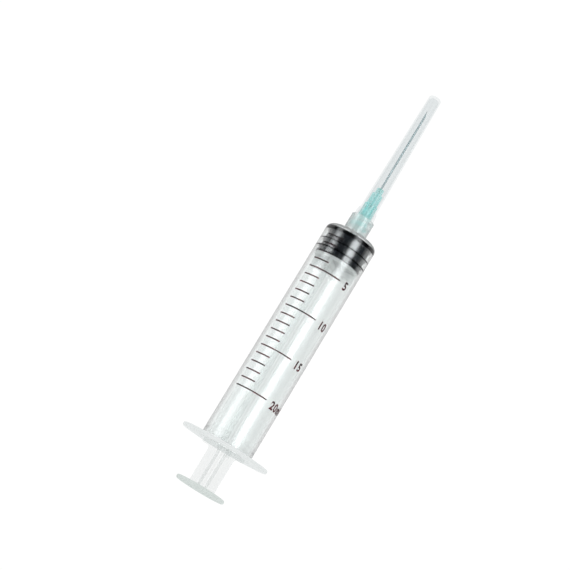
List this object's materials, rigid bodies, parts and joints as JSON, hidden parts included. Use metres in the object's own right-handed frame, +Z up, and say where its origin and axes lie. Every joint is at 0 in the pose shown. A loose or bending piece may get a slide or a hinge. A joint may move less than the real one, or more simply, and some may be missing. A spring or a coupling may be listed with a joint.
{
  "type": "luer lock syringe",
  "caption": "Disposable syringe with a clear graduated barrel, oval finger flange, cross-ribbed plunger, rubber stopper, threaded lock collar and a capped needle on a coloured hub",
  "frame": {"origin": "centre of the footprint of the whole part, at the level of the lowest edge of the finger flange", "axes": "+X along the barrel's axis towards the needle's point, +Y along the finger flange's long way, +Z up away from the table; the barrel's axis is at Z 13 mm"},
  "size_m": [0.1768, 0.0362, 0.026],
  "materials": {
    "barrel_plastic": "clear polypropylene, faintly green-grey, glossy",
    "rod_plastic": "translucent natural polypropylene, semi-gloss",
    "stopper_rubber": "black, wet with silicone oil",
    "hub_plastic": "translucent teal polypropylene, semi-gloss",
    "needle_steel": "drawn stainless steel, bright",
    "glue_resin": "clear cured adhesive",
    "cap_plastic": "clear colourless polypropylene, glossy"
  },
  "bodies": {
    "barrel": {"barrel": "barrel_plastic"},
    "stopper": {"stopper": "stopper_rubber"},
    "plunger_rod": {"plunger_rod": "rod_plastic"},
    "needle_glue": {"needle_glue": "glue_resin"},
    "needle_hub": {"needle_hub": "hub_plastic", "cannula": "needle_steel"},
    "needle_cap": {"needle_cap": "cap_plastic"}
  },
  "joints": [
    {"name": "plunger_slide", "type": "slide", "parent": "barrel", "child": "stopper", "axis": [-1, 0, 0], "range_m": [0, 0.0773]},
    {"name": "plunger_spin", "type": "hinge", "parent": "stopper", "child": "plunger_rod", "pos_m": [0, 0, 0.013], "axis": [1, 0, 0], "continuous": true},
    {"name": "needle_rise", "type": "slide", "parent": "barrel", "child": "needle_glue", "axis": [1, 0, 0], "range_m": [0, 0.005]},
    {"name": "needle_unscrew", "type": "hinge", "parent": "needle_glue", "child": "needle_hub", "pos_m": [0, 0, 0.013], "axis": [1, 0, 0], "range_deg": [0, 360]},
    {"name": "cap_pull", "type": "slide", "parent": "needle_hub", "child": "needle_cap", "axis": [1, 0, 0], "range_m": [0, 0.055]}
  ],
  "couplings": [
    {"joint": "needle_unscrew", "follows": "needle_rise", "rad_per_m": 1256.6}
  ]
}
